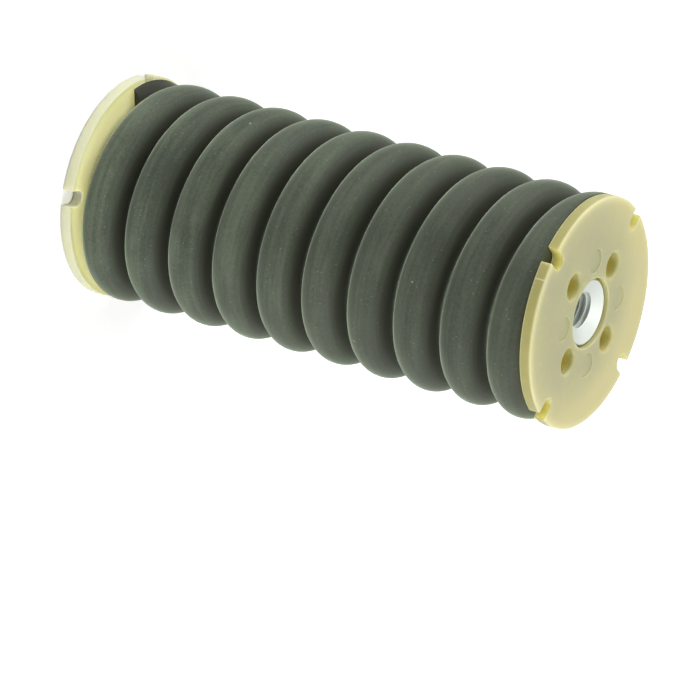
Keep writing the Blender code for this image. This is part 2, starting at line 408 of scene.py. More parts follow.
class MountStageSettings(bpy.types.PropertyGroup):
    """Camera, lamps and floor."""

    camera_elevation: FloatProperty(
        name="Camera elevation", description="Angle of the view above the floor",
        default=radians(28.481), subtype="ANGLE")
    camera_roll: FloatProperty(
        name="Camera roll", description="Turn of the camera about its own axis",
        default=radians(106.259), subtype="ANGLE")
    camera_place: FloatVectorProperty(
        name="Camera place", description="Where the lens stands",
        default=(13.26 * MM, -526.0 * MM, 327.15 * MM), unit="LENGTH")
    lens: FloatProperty(
        name="Lens", description="Focal length in millimetres on a 36 mm sensor",
        default=222.08)
    floor_size: FloatProperty(
        name="Floor size", description="Length of each side of the floor",
        default=8.0, unit="LENGTH")
    floor_colour: FloatVectorProperty(
        name="Floor", description="Colour of the floor", default=(0.88, 0.88, 0.88),
        subtype="COLOR")


# Mesh helpers


def to_mesh(name, bm):
    """A mesh made from a bmesh, which is freed."""
    mesh = bpy.data.meshes.new(name)
    bm.to_mesh(mesh)
    bm.free()
    return mesh


def in_scene(name, data):
    """An object in the scene that shows a mesh, a lamp or a camera."""
    obj = bpy.data.objects.new(name, data)
    bpy.context.scene.collection.objects.link(obj)
    return obj


def new_piece(name, bm, material, nodes):
    """Make a finished piece from a bmesh. It rides on the body and stands for its nodes."""
    mesh = to_mesh(name, bm)
    mesh.materials.append(material)
    mesh.shade_smooth()
    mesh.set_sharp_from_angle(angle=SHARP_ANGLE)
    piece = in_scene(name, mesh)
    even = piece.modifiers.new("even_flats", "WEIGHTED_NORMAL")
    even.keep_sharp = True
    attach(piece, BODY)
    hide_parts(*nodes)


def only(kind, items):
    """The items of one kind."""
    return [item for item in items if isinstance(item, kind)]


def closed_loop(bm, points):
    """Vertices and edges of a closed outline."""
    verts = [bm.verts.new(point) for point in points]
    edges = [bm.edges.new((verts[i - 1], verts[i])) for i in range(len(verts))]
    return verts, edges


def close_ends(bm):
    """Fill the open ends of a tube."""
    bmesh.ops.holes_fill(bm, edges=[edge for edge in bm.edges if edge.is_boundary])


def turn_profile(profile, steps):
    """Spin a closed profile of (radius, height) points once round Z."""
    bm = bmesh.new()
    verts, edges = closed_loop(bm, [(radius, 0.0, height) for radius, height in profile])
    bmesh.ops.spin(bm, geom=verts + edges, cent=(0, 0, 0), axis=(0, 0, 1),
                   angle=tau, steps=steps, use_merge=True)
    bmesh.ops.remove_doubles(bm, verts=bm.verts, dist=TURN_WELD)
    bmesh.ops.recalc_face_normals(bm, faces=bm.faces)
    return bm


def arc(centre_x, centre_y, radius, start, end, steps):
    """Points along an arc, both ends included."""
    angles = [start + (end - start) * step / steps for step in range(steps + 1)]
    return [(centre_x + radius * cos(a), centre_y + radius * sin(a)) for a in angles]


def cut(bm, cutter):
    """Cut one bmesh out of another, and free both."""
    body = in_scene("cut_body", to_mesh("cut_body", bm))
    tool = in_scene("cut_tool", to_mesh("cut_tool", cutter))
    boolean = body.modifiers.new("cut", "BOOLEAN")
    boolean.operation = "DIFFERENCE"
    boolean.solver = "EXACT"
    boolean.object = tool
    result = bmesh.new()
    result.from_object(body, bpy.context.evaluated_depsgraph_get())
    for obj in (body, tool):
        mesh = obj.data
        bpy.data.objects.remove(obj)
        bpy.data.meshes.remove(mesh)
    bmesh.ops.remove_doubles(result, verts=result.verts, dist=CUT_WELD)
    bmesh.ops.dissolve_limit(result, angle_limit=FLAT_ANGLE, verts=result.verts,
                             edges=result.edges)
    return result


def trim_flat(bm, height, direction):
    """Take off what lies past a level, up for a direction of 1 and down for -1."""
    trim = bmesh.ops.bisect_plane(bm, geom=bm.verts[:] + bm.edges[:] + bm.faces[:],
                                  dist=TRIM_SNAP, plane_co=(0, 0, height),
                                  plane_no=(0, 0, direction), clear_outer=True)
    bmesh.ops.holes_fill(bm, edges=only(bmesh.types.BMEdge, trim["geom_cut"]))


# Shader helpers


def new_material(name):
    """A material, its node tree and its shader."""
    material = bpy.data.materials.new(name)
    material.use_nodes = True
    return material, material.node_tree, material.node_tree.nodes["Principled BSDF"]


def new_group(name, inputs, *outputs):
    """A shader node group with float inputs, each with its usual value, and its outputs."""
    group = bpy.data.node_groups.new(name, "ShaderNodeTree")
    for socket, usual in inputs.items():
        made = group.interface.new_socket(socket, in_out="INPUT", socket_type="NodeSocketFloat")
        made.default_value = usual
    for socket in outputs:
        group.interface.new_socket(socket, in_out="OUTPUT", socket_type="NodeSocketFloat")
    return group, group.nodes.new("NodeGroupInput"), group.nodes.new("NodeGroupOutput")


def place_group(tree, group, **values):
    """The first output of a group node with its own values."""
    node = tree.nodes.new("ShaderNodeGroup")
    node.node_tree = group
    for socket, value in values.items():
        node.inputs[socket.replace("_", " ")].default_value = value
    return node.outputs[0]


def fill_socket(tree, socket, value):
    """Link a socket to another one, or give it a number or a fixed colour."""
    if isinstance(value, bpy.types.NodeSocket):
        tree.links.new(value, socket)
    elif isinstance(value, float):
        socket.default_value = value
    else:
        socket.default_value = (*value, 1.0)


def math_node(tree, operation, first, second=0.0):
    """A Math node of sockets or numbers."""
    node = tree.nodes.new("ShaderNodeMath")
    node.operation = operation
    fill_socket(tree, node.inputs[0], first)
    fill_socket(tree, node.inputs[1], second)
    return node.outputs[0]


def product(tree, *factors):
    """Sockets and numbers, multiplied."""
    return reduce(partial(math_node, tree, "MULTIPLY"), factors)


def total(tree, *terms):
    """Sockets and numbers, added up."""
    return reduce(partial(math_node, tree, "ADD"), terms)


def blend(tree, share, first, second):
    """The first value by its share, and the second by the rest."""
    return total(tree, product(tree, first, share), product(tree, second, 1.0 - share))


def smooth_band(tree, value, low, high, from_value=0.0, to_value=1.0):
    """A smooth step of a value between two limits."""
    node = tree.nodes.new("ShaderNodeMapRange")
    node.interpolation_type = "SMOOTHSTEP"
    tree.links.new(value, node.inputs["Value"])
    node.inputs["From Min"].default_value = low
    node.inputs["From Max"].default_value = high
    node.inputs["To Min"].default_value = from_value
    node.inputs["To Max"].default_value = to_value
    return node.outputs["Result"]


def band_from(tree, value, level, limits, from_value=0.0, to_value=1.0):
    """A smooth step between two limits that are measured from a level."""
    low, high = limits
    return smooth_band(tree, value, level + low, level + high, from_value, to_value)


def mix_colours(tree, factor, first, second):
    """A colour between two sockets or fixed colours."""
    node = tree.nodes.new("ShaderNodeMix")
    node.data_type = "RGBA"
    for index, value in ((0, factor), (6, first), (7, second)):
        fill_socket(tree, node.inputs[index], value)
    return node.outputs[2]


def object_place(tree):
    return tree.nodes.new("ShaderNodeTexCoord").outputs["Object"]


def split_axes(tree, vector):
    axes = tree.nodes.new("ShaderNodeSeparateXYZ")
    tree.links.new(vector, axes.inputs["Vector"])
    return axes.outputs


def noise(tree, vector, scale, detail=3.0, roughness=0.5):
    node = tree.nodes.new("ShaderNodeTexNoise")
    tree.links.new(vector, node.inputs["Vector"])
    node.inputs["Scale"].default_value = scale
    node.inputs["Detail"].default_value = detail
    node.inputs["Roughness"].default_value = roughness
    return node.outputs["Fac"]


def bump(tree, height, distance, strength, normal=None):
    node = tree.nodes.new("ShaderNodeBump")
    tree.links.new(height, node.inputs["Height"])
    node.inputs["Distance"].default_value = distance
    node.inputs["Strength"].default_value = strength
    if normal is not None:
        tree.links.new(normal, node.inputs["Normal"])
    return node.outputs["Normal"]


def speck_group():
    """Scattered small specks, as a mask that is one on a speck."""
    group, entry, leave = new_group(
        "scattered_specks", {"Density": 900.0, "Size": 0.1, "Share": 0.1}, "Mask")
    cells = group.nodes.new("ShaderNodeTexVoronoi")
    cells.feature = "F1"
    group.links.new(object_place(group), cells.inputs["Vector"])
    group.links.new(entry.outputs["Density"], cells.inputs["Scale"])
    near = math_node(group, "LESS_THAN", cells.outputs["Distance"], entry.outputs["Size"])
    split = group.nodes.new("ShaderNodeSeparateColor")
    group.links.new(cells.outputs["Color"], split.inputs["Color"])
    chosen = math_node(group, "LESS_THAN", split.outputs["Red"], entry.outputs["Share"])
    group.links.new(product(group, near, chosen), leave.inputs["Mask"])
    return group


def mottle_group():
    """Broad and fine unevenness of a moulded surface, from zero to one."""
    usual = {"Broad Scale": 60.0, "Fine Scale": 900.0, "Fine Share": 0.4}
    group, entry, leave = new_group("moulded_mottle", usual, "Value")
    mixed = group.nodes.new("ShaderNodeMix")
    group.links.new(entry.outputs["Fine Share"], mixed.inputs[0])
    for index, scale in ((2, "Broad Scale"), (3, "Fine Scale")):
        cloud = noise(group, object_place(group), usual[scale])
        group.links.new(entry.outputs[scale], cloud.node.inputs["Scale"])
        group.links.new(cloud, mixed.inputs[index])
    group.links.new(mixed.outputs[0], leave.inputs["Value"])
    return group


def shared_groups():
    """The node groups that several materials use, made once."""
    specks = bpy.data.node_groups.get("scattered_specks") or speck_group()
    mottle = bpy.data.node_groups.get("moulded_mottle") or mottle_group()
    return specks, mottle


# Materials


def rubber_material(settings, specks, mottle):
    """Matte dark rubber with streaks along the wire, mottling, specks of dust and painted shade
    on the sides of the turns, at the lower tip and towards the upper end.
    """
    material, tree, shader = new_material("matte_dark_rubber")
    straight = tree.nodes.new("ShaderNodeAttribute")
    straight.attribute_name = "straightened"
    along, outward, _ = split_axes(tree, straight.outputs["Vector"])
    stretch = tree.nodes.new("ShaderNodeMapping")
    stretch.inputs["Scale"].default_value = (STREAK_STRETCH, 1.0, 1.0)
    tree.links.new(straight.outputs["Vector"], stretch.inputs["Vector"])
    bands = noise(tree, stretch.outputs["Vector"], BAND_SCALE, detail=2.0)
    streaks = noise(tree, stretch.outputs["Vector"], STREAK_SCALE, roughness=0.6)
    lines = blend(tree, BAND_SHARE, bands, streaks)
    patches = place_group(tree, mottle, Broad_Scale=140.0, Fine_Scale=2600.0, Fine_Share=0.45)
    tone = smooth_band(tree, blend(tree, LINE_SHARE, lines, patches), *TONE_RANGE)
    streaks_and_falloff_shade = mix_colours(tree, tone, settings.dark_colour, settings.light_colour)
    # Painted shade: the turns get darker towards the upper end of the wire
    painted_falloff = smooth_band(tree, along, *FALLOFF_RANGE, 0.0, FALLOFF_SHARE)
    streaks_and_falloff_shade = mix_colours(tree, painted_falloff, streaks_and_falloff_shade, settings.painted_shade_colour)
    ragged = product(tree, lines, RAGGED_EDGE)
    # Painted shade on the sides of the turns and at the lower tip; dust shows only where it is
    # unshaded
    unshaded_crest = product(tree, smooth_band(tree, total(tree, outward, ragged), *CREST_SHADE_RANGE),
                      smooth_band(tree, total(tree, along, ragged), *TIP_SHADE_RANGE))
    base = mix_colours(tree, unshaded_crest, settings.painted_shade_colour, streaks_and_falloff_shade)
    fine_dust = place_group(tree, specks, Density=2400.0, Size=0.2, Share=0.06)
    coarse_dust = place_group(tree, specks, Density=700.0, Size=0.13, Share=0.02)
    dust = total(tree, product(tree, fine_dust, FINE_DUST_COVER),
                 product(tree, coarse_dust, COARSE_DUST_COVER))
    colour = mix_colours(tree, product(tree, dust, unshaded_crest), base, settings.dust_colour)
    tree.links.new(colour, shader.inputs["Base Color"])
    tree.links.new(smooth_band(tree, tone, 0.0, 1.0, *RUBBER_ROUGHNESS),
                   shader.inputs["Roughness"])
    grain = place_group(tree, mottle, Broad_Scale=1100.0, Fine_Scale=5000.0, Fine_Share=0.5)
    normal = bump(tree, grain, RUBBER_GRAIN, strength=0.8)
    normal = bump(tree, streaks, STREAK_DEPTH, strength=0.6, normal=normal)
    tree.links.new(normal, shader.inputs["Normal"])
    shader.inputs["Specular IOR Level"].default_value = 0.3
    shader.inputs["Sheen Weight"].default_value = 0.9
    shader.inputs["Sheen Roughness"].default_value = 0.3
    shader.inputs["Sheen Tint"].default_value = (0.85, 1.0, 0.75, 1.0)
    return material


def recess_mask(tree, settings, depth, radius):
    """One deep in the blind holes and on the walls of the notches, and zero outside. It places
    the painted light of the recesses.
    """
    hole = product(tree, smooth_band(tree, depth, *HOLE_DEPTH),
                   band_from(tree, radius, settings.plug_radius, HOLE_STOP))
    notch = product(
        tree, smooth_band(tree, depth, *NOTCH_DEPTH),
        band_from(tree, depth, settings.flange_thickness, NOTCH_STOP),
        band_from(tree, radius, settings.radius - settings.notch_depth, NOTCH_END),
        band_from(tree, radius, settings.radius, NOTCH_MOUTH))
    return math_node(tree, "MAXIMUM", hole, notch)


def witness_mask(tree, settings, turn):
    """One on the line that the mould leaves across the rim, and zero elsewhere."""
    angles = tree.nodes.new("ShaderNodeCombineXYZ")
    tree.links.new(turn, angles.inputs["Z"])
    turned = tree.nodes.new("ShaderNodeMapping")
    tree.links.new(angles.outputs["Vector"], turned.inputs["Rotation"])
    tree.links.new(object_place(tree), turned.inputs["Vector"])
    x, y, _ = split_axes(tree, turned.outputs["Vector"])
    line = smooth_band(tree, math_node(tree, "ABSOLUTE", y), settings.witness_width / 2,
                       settings.witness_width / 4)
    return product(tree, line, band_from(tree, x, settings.radius, WITNESS_START))


def cap_mask_group(settings):
    """Where a point lies on a cap, as masks of its parts, its distance from the axis and
    a painted-light gradient of the tone from one side to the other."""
    names = ("Radius", "Light Drift", "Edge Light", "Back", "Rim", "Recess", "Witness", "Glow")
    group, entry, leave = new_group(
        "cap_masks", {"Face Height": 0.0, "Outward": 1.0, "Witness Turn": 0.0}, *names)
    x, y, z = split_axes(group, object_place(group))
    below = math_node(group, "SUBTRACT", entry.outputs["Face Height"], z)
    depth = product(group, below, entry.outputs["Outward"])
    square = total(group, product(group, x, x), product(group, y, y))
    radius = math_node(group, "SQRT", square)
    # Painted light: the face is made lighter towards +Y, and a little towards +X, on both caps
    # alike
    light_drift = total(group, product(group, x, LIGHT_DRIFT[0]), product(group, y, LIGHT_DRIFT[1]))
    edge = band_from(group, radius, settings.radius, EDGE_START, 0.0, EDGE_LIGHT)
    back = band_from(group, depth, settings.flange_thickness, BACK_START)
    rim = product(
        group, smooth_band(group, depth, *RIM_DEPTH),
        band_from(group, radius, settings.radius, RIM_START),
        band_from(group, depth, settings.flange_thickness, RIM_STOP))
    recess = recess_mask(group, settings, depth, radius)
    witness = witness_mask(group, settings, entry.outputs["Witness Turn"])
    glow = product(
        group, back, band_from(group, radius, settings.radius, GLOW_STOP),
        band_from(group, radius, settings.plug_radius, GLOW_START))
    masks = (radius, light_drift, edge, back, rim, recess, witness, glow)
    for name, mask in zip(names, masks):
        group.links.new(mask, leave.inputs[name])
    return group


def nylon_material(name, settings, height, outward, look, groups):
    """Translucent natural nylon of the cap whose outer face lies at a height, with painted light
    and shade in its colours.
    """
    cap_masks, specks, mottle = groups
    material, tree, shader = new_material(name)
    masks = place_group(tree, cap_masks, Face_Height=height, Outward=outward,
                        Witness_Turn=-look.witness_angle).node.outputs
    patches = place_group(tree, mottle, Broad_Scale=90.0, Fine_Scale=800.0, Fine_Share=0.3)
    # Painted light through the thin flange against painted shade over the plug, with a ragged
    # edge from the mottle, shifted by the painted gradient across the cap
    place = total(tree, masks["Radius"], product(tree, patches, PATCH_SPREAD), masks["Light Drift"])
    through_light = smooth_band(tree, place, settings.plug_radius + THROUGH_LIGHT_START,
                       settings.radius + THROUGH_LIGHT_END)
    mottle_tint = smooth_band(tree, patches, *PATCH_RANGE, 0.0, PATCH_SHARE)
    marks = place_group(tree, specks, Density=800.0, Size=0.12, Share=0.04)
    # Layers: painted light at the edge, on the back and in the recesses; the rim is painted
    # shade on the upper cap and painted light on the lower; the mottle tint, marks and witness
    # line are the nylon's own
    layers = [
        (masks["Edge Light"], settings.edge_colour),
        (masks["Back"], settings.back_light_colour),
        (masks["Rim"], look.rim),
        (masks["Recess"], look.recess),
        (mottle_tint, settings.recess_light_and_mottle_colour),
        (product(tree, marks, MARK_COVER), settings.mark_colour),
        (masks["Witness"], settings.witness_colour),
    ]
    colour = mix_colours(tree, through_light, settings.core_colour, look.flange)
    for mask, layer in layers:
        colour = mix_colours(tree, mask, colour, layer)
    tree.links.new(colour, shader.inputs["Base Color"])
    tree.links.new(smooth_band(tree, patches, *MOTTLE_RANGE, *NYLON_ROUGHNESS),
                   shader.inputs["Roughness"])
    grain = place_group(tree, mottle, Broad_Scale=550.0, Fine_Scale=3600.0, Fine_Share=0.4)
    tree.links.new(bump(tree, grain, NYLON_GRAIN, strength=0.6), shader.inputs["Normal"])
    tree.links.new(mix_colours(tree, masks["Glow"], BLACK, settings.glow_colour),
                   shader.inputs["Emission Color"])
    shader.inputs["Emission Strength"].default_value = settings.glow
    shader.inputs["Subsurface Weight"].default_value = 0.9
    shader.inputs["Subsurface Radius"].default_value = (1.0, 0.9, 0.5)
    shader.inputs["Subsurface Scale"].default_value = look.light_depth
    shader.inputs["Specular IOR Level"].default_value = 0.4
    return material


def zinc_material(settings, mottle):
    """Bright zinc plate with the fine rings that turning leaves."""
    material, tree, shader = new_material("bright_zinc_plate")
    rings = tree.nodes.new("ShaderNodeTexWave")
    rings.wave_type = "RINGS"
    rings.rings_direction = "Z"
    tree.links.new(object_place(tree), rings.inputs["Vector"])
    rings.inputs["Scale"].default_value = 1500.0
    rings.inputs["Distortion"].default_value = 1.0
    patches = place_group(tree, mottle, Broad_Scale=350.0, Fine_Scale=1200.0, Fine_Share=0.2)
    dull = tuple(channel * DULL_ZINC for channel in settings.colour)
    tree.links.new(mix_colours(tree, patches, dull, settings.colour),
                   shader.inputs["Base Color"])
    tree.links.new(smooth_band(tree, patches, *MOTTLE_RANGE, *ZINC_ROUGHNESS),
                   shader.inputs["Roughness"])
    normal = bump(tree, rings.outputs["Fac"], RING_DEPTH, strength=0.3)
    tree.links.new(normal, shader.inputs["Normal"])
    shader.inputs["Metallic"].default_value = 1.0
    return material


def seen_directly(tree):
    """One for what the camera sees, also in a reflection or through a clear surface."""
    path = tree.nodes.new("ShaderNodeLightPath")
    seen = math_node(tree, "MAXIMUM", path.outputs["Is Camera Ray"],
                     path.outputs["Is Glossy Ray"])
    return math_node(tree, "MAXIMUM", seen, path.outputs["Is Transmission Ray"])


def floor_material(settings):
    """White floor that keeps the object's shadow. To the camera it shows a little lighter
    than the lamps make it, and more so far from the object."""
    material, tree, shader = new_material("white_floor")
    patches = noise(tree, object_place(tree), scale=6.0)
    dull = tuple(channel * DULL_FLOOR for channel in settings.floor_colour)
    tree.links.new(mix_colours(tree, patches, dull, settings.floor_colour),
                   shader.inputs["Base Color"])
    shader.inputs["Roughness"].default_value = 0.9
    shader.inputs["Specular IOR Level"].default_value = 0.0
    away = tree.nodes.new("ShaderNodeVectorMath")
    away.operation = "LENGTH"
    tree.links.new(object_place(tree), away.inputs[0])
    glow = smooth_band(tree, away.outputs["Value"], *FLOOR_FADE, *FLOOR_LIGHT)
    tree.links.new(product(tree, seen_directly(tree), glow), shader.inputs["Emission Strength"])
    shader.inputs["Emission Color"].default_value = WHITE
    return material


# Coil


def wire_stretch(settings, pitch, first, steps):
    """A stretch of the wire that starts at step first of the winding."""
    winding_radius = settings.outer_radius - settings.wire_radius
    step_angle = tau / settings.turn_steps
    angle = settings.tip_angle - first * step_angle
    outward = Vector((cos(angle), sin(angle), 0.0))
    forward = Vector((sin(angle), -cos(angle), pitch / (tau * winding_radius))).normalized()
    turn = Matrix((outward, forward.cross(outward), forward)).transposed().to_4x4()
    height = tip_height(settings) + pitch * first / settings.turn_steps
    place = Matrix.Translation(outward * winding_radius + Vector((0.0, 0.0, height)))

    bm = bmesh.new()
    straightened = bm.verts.layers.float_vector.new("straightened")
    bmesh.ops.create_circle(bm, segments=settings.wire_sides, radius=settings.wire_radius)
    section = [(vert.co.x, vert.co.y) for vert in bm.verts]
    bmesh.ops.transform(bm, matrix=place @ turn, verts=bm.verts)
    bmesh.ops.spin(bm, geom=bm.verts[:] + bm.edges[:], cent=(0, 0, 0), axis=(0, 0, -1),
                   dvec=(0, 0, pitch / settings.turn_steps), angle=step_angle * steps,
                   steps=steps)
    step_length = hypot(winding_radius * step_angle, pitch / settings.turn_steps)
    for index, vert in enumerate(bm.verts):
        step, side = divmod(index, settings.wire_sides)
        vert[straightened] = ((first + step) * step_length, *section[side])
    return bm


def tip_height(settings):
    """Height of the middle of the wire at its lower tip, before the tip is ground."""
    return COIL_SEAT + settings.tip_thickness - settings.wire_radius


def wound_wire(settings):
    """The wire wound left-handed from its lower tip, both ends ground flat."""
    rise = LENGTH - 2 * tip_height(settings)
    turns = rise / (2 * settings.wire_radius + settings.turn_gap)
    count = round(turns * settings.turn_steps)
    pitch = rise * settings.turn_steps / count
    wire = bmesh.new()
    for first in range(0, count, settings.turn_steps):
        steps = min(settings.turn_steps, count - first)
        mesh = to_mesh("stretch", wire_stretch(settings, pitch, first, steps))
        wire.from_mesh(mesh)
        bpy.data.meshes.remove(mesh)
    bmesh.ops.remove_doubles(wire, verts=wire.verts, dist=WIRE_WELD)
    close_ends(wire)
    for height, direction in ((COIL_SEAT, -1.0), (LENGTH - COIL_SEAT, 1.0)):
        trim_flat(wire, height, direction)
    bmesh.ops.recalc_face_normals(wire, faces=wire.faces)
    return wire


# Caps


def cap_profile(settings, bush):
    """Half section of a cap: its outer face is at height zero, its plug below."""
    gap = settings.socket_radius - bush.radius
    socket_depth = BUSH_RECESS + BUSH_LENGTH + gap
    grip_radius = settings.socket_radius - bush.waist_depth
    grip_middle = BUSH_RECESS + BUSH_LENGTH / 2
    grip_half = bush.waist_length / 2 - gap
    outlet_radius = bush.crest_radius + bush.chamfer + OUTLET_CLEARANCE
    edge = settings.edge
    profile = arc(settings.socket_radius + edge, -edge, edge, pi, pi / 2, SOCKET_STEPS)
    profile += arc(settings.radius - settings.face_rounding, -settings.face_rounding,
                   settings.face_rounding, pi / 2, 0.0, FACE_STEPS)
    profile += arc(settings.radius - settings.back_rounding,
                   settings.back_rounding - settings.flange_thickness,
                   settings.back_rounding, 0.0, -pi / 2, BACK_STEPS)
    profile += [
        (settings.plug_radius, -settings.flange_thickness),
        (settings.plug_radius, PLUG_CHAMFER - PLUG_LENGTH),
        (settings.plug_radius - PLUG_CHAMFER, -PLUG_LENGTH),
        (outlet_radius, -PLUG_LENGTH),
        (outlet_radius, -socket_depth),
        (settings.socket_radius, -socket_depth),
        (settings.socket_radius, -grip_middle - grip_half),
        (grip_radius, bush.waist_depth - grip_middle - grip_half),
        (grip_radius, grip_half - bush.waist_depth - grip_middle),
        (settings.socket_radius, grip_half - grip_middle),
    ]
    return profile


def round_cutter(radius, depth, edge):
    """A turned cutter for a blind hole whose mouth is rounded by edge."""
    profile = [(0.0, -depth), (radius - edge, -depth), (radius, edge - depth)]
    profile += arc(radius + edge, -edge, edge, pi, pi / 2, MOUTH_STEPS)
    profile += [(radius + edge, OVERRUN), (0.0, OVERRUN)]
    return turn_profile(profile, HOLE_STEPS)


def notch_outline(settings, offset, height):
    """Outline of a rim notch at a height, grown by offset and open past the rim."""
    half = settings.notch_width / 2
    end_centre = settings.radius - settings.notch_depth + half
    outer = settings.radius + OVERRUN
    outline = arc(end_centre, 0.0, half + offset, pi / 2, 3 * pi / 2, NOTCH_STEPS)
    outline += [(outer, -half - offset), (outer, half + offset)]
    return [(x, y, height) for x, y in outline]


def notch_cutter(settings):
    """A notch cutter that flares at both faces of the flange, which rounds the edges."""
    edge = settings.edge
    flare = [(edge * sin(a), edge * (1 - cos(a))) for a in FLARE_ANGLES]
    levels = [(OVERRUN, edge)]
    levels += [(rise - edge, out) for rise, out in flare]
    levels += [(edge - settings.flange_thickness - rise, out) for rise, out in reversed(flare)]
    levels += [(-settings.flange_thickness - OVERRUN, edge)]
    outlines = [notch_outline(settings, offset, height) for height, offset in levels]
    bm = bmesh.new()
    _, edges = closed_loop(bm, outlines[0])
    for outline in outlines[1:]:
        made = bmesh.ops.extrude_edge_only(bm, edges=edges)["geom"]
        edges = only(bmesh.types.BMEdge, made)
        for vert, place in zip(only(bmesh.types.BMVert, made), outline):
            vert.co = place
    close_ends(bm)
    bmesh.ops.recalc_face_normals(bm, faces=bm.faces)
    return bm


def ring_of(bm, count, radius, start=0.0):
    """Copies of a cutter at a radius, evenly round Z."""
    mesh = to_mesh("ring", bm)
    ring = bmesh.new()
    for index in range(count):
        before = len(ring.verts)
        ring.from_mesh(mesh)
        ring.verts.ensure_lookup_table()
        turn = Matrix.Rotation(start + tau * index / count, 4, "Z")
        place = turn @ Matrix.Translation((radius, 0.0, 0.0))
        bmesh.ops.transform(ring, matrix=place, verts=ring.verts[before:])
    bpy.data.meshes.remove(mesh)
    return ring


def moulded_cap(settings, bush):
    """A cap with its blind holes, rim notches and ejector marks."""
    cap = turn_profile(cap_profile(settings, bush), settings.steps)
    holes = round_cutter(settings.hole_radius, settings.hole_depth, settings.hole_mouth)
    cap = cut(cap, ring_of(holes, settings.count, settings.hole_circle))
    marks = round_cutter(settings.mark_radius, settings.mark_depth, MARK_EDGE)
    cap = cut(cap, ring_of(marks, settings.count, settings.hole_circle, pi / settings.count))
    return cut(cap, ring_of(notch_cutter(settings), settings.count, 0.0))


# Bushes


def bush_profile(settings):
    """Half section of a bush without its thread, in the frame of the cap that holds it."""
    rim = -BUSH_RECESS
    end = rim - BUSH_LENGTH
    middle = rim - BUSH_LENGTH / 2
    waist_radius = settings.radius - settings.waist_depth
    waist_half = settings.waist_length / 2
    mouth_radius = settings.crest_radius + settings.chamfer
    mouth = rim - settings.dish_depth
    return [
        (mouth_radius, mouth),
        (settings.radius - settings.edge, rim),
        (settings.radius, rim - settings.edge),
        (settings.radius, middle + waist_half),
        (waist_radius, middle + waist_half - settings.waist_depth),
        (waist_radius, middle - waist_half + settings.waist_depth),
        (settings.radius, middle - waist_half),
        (settings.radius, end + settings.edge),
        (settings.radius - settings.edge, end),
        (mouth_radius, end),
        (settings.crest_radius, end + settings.chamfer),
        (settings.crest_radius, mouth - settings.chamfer),
    ]


def thread_tap(settings):
    """A threaded rod the shape of the screw's thread, which cuts the thread in the bush."""
    low = -BUSH_RECESS - BUSH_LENGTH - OVERRUN
    high = OVERRUN - BUSH_RECESS
    pitches = int((high - low) / settings.pitch) + SPARE_PITCHES
    start = low - settings.pitch * SPARE_PITCHES / 2
    crest_radius = settings.crest_radius - CREST_CLEARANCE
    profile = []
    for index in range(pitches):
        foot = start + settings.pitch * index
        profile += [
            (crest_radius, foot),
            (crest_radius, foot + settings.pitch * CREST_END),
            (settings.root_radius, foot + settings.pitch * ROOT_START),
            (settings.root_radius, foot + settings.pitch * ROOT_END),
        ]
    bm = bmesh.new()
    verts = [bm.verts.new((radius, 0.0, height)) for radius, height in profile]
    edges = [bm.edges.new(pair) for pair in zip(verts, verts[1:])]
    bmesh.ops.spin(bm, geom=verts + edges, cent=(0, 0, 0), axis=(0, 0, 1),
                   dvec=(0, 0, settings.pitch / THREAD_STEPS), angle=tau, steps=THREAD_STEPS)
    bmesh.ops.remove_doubles(bm, verts=bm.verts, dist=THREAD_WELD)
    for height, direction in ((low, -1.0), (high, 1.0)):
        trim_flat(bm, height, direction)
    bmesh.ops.recalc_face_normals(bm, faces=bm.faces)
    return bm


def threaded_bush(settings):
    """A turned bush with its dished face and its thread."""
    return cut(turn_profile(bush_profile(settings), settings.steps), thread_tap(settings))


# Ends


def end_places(cap):
    """Name, height, outward direction and matrix of each end of the mount."""
    flip = Matrix.Rotation(pi, 4, "X")
    upper_turn = Matrix.Rotation(cap.upper_turn, 4, "Z")
    lower_turn = Matrix.Rotation(cap.lower_turn, 4, "Z")
    raised = Matrix.Translation((0.0, 0.0, LENGTH))
    return [("lower", 0.0, -1.0, lower_turn @ flip), ("upper", LENGTH, 1.0, raised @ upper_turn)]


# Operators


class MOUNT_OT_wind_coil(bpy.types.Operator):
    """Wind the rubber coil"""

    bl_idname = "mount.wind_coil"
    bl_label = "Wind Coil"

    def execute(self, context):
        settings = context.scene.mount_coil
        specks, mottle = shared_groups()
        rubber = rubber_material(settings, specks, mottle)
        new_piece("wound_coil", wound_wire(settings), rubber, ["coil"])
        return {"FINISHED"}


class MOUNT_OT_mould_caps(bpy.types.Operator):
    """Mould both end caps"""

    bl_idname = "mount.mould_caps"
    bl_label = "Mould Caps"

    def execute(self, context):
        settings = context.scene.mount_cap
        groups = (cap_mask_group(settings), *shared_groups())
        # The lower cap takes lighter copies of the colours, painted light; the upper cap's rim
        # takes painted shade
        looks = {
            "lower": CapLook(
                settings.lit_lower_colour, settings.lit_lower_colour, settings.lit_lower_recess_colour,
                settings.pale_light_depth, settings.lower_turn - settings.witness_angle),
            "upper": CapLook(
                settings.flange_colour, settings.rim_shade_colour, settings.recess_light_and_mottle_colour,
                settings.light_depth, settings.upper_turn + settings.witness_angle),
        }
        for end, height, outward, place in end_places(settings):
            nylon = nylon_material(end + "_natural_nylon", settings, height, outward,
                                   looks[end], groups)
            cap = moulded_cap(settings, context.scene.mount_bush)
            bmesh.ops.transform(cap, matrix=place, verts=cap.verts)
            new_piece(end + "_moulded_cap", cap, nylon, [end + "_cap"])
        return {"FINISHED"}


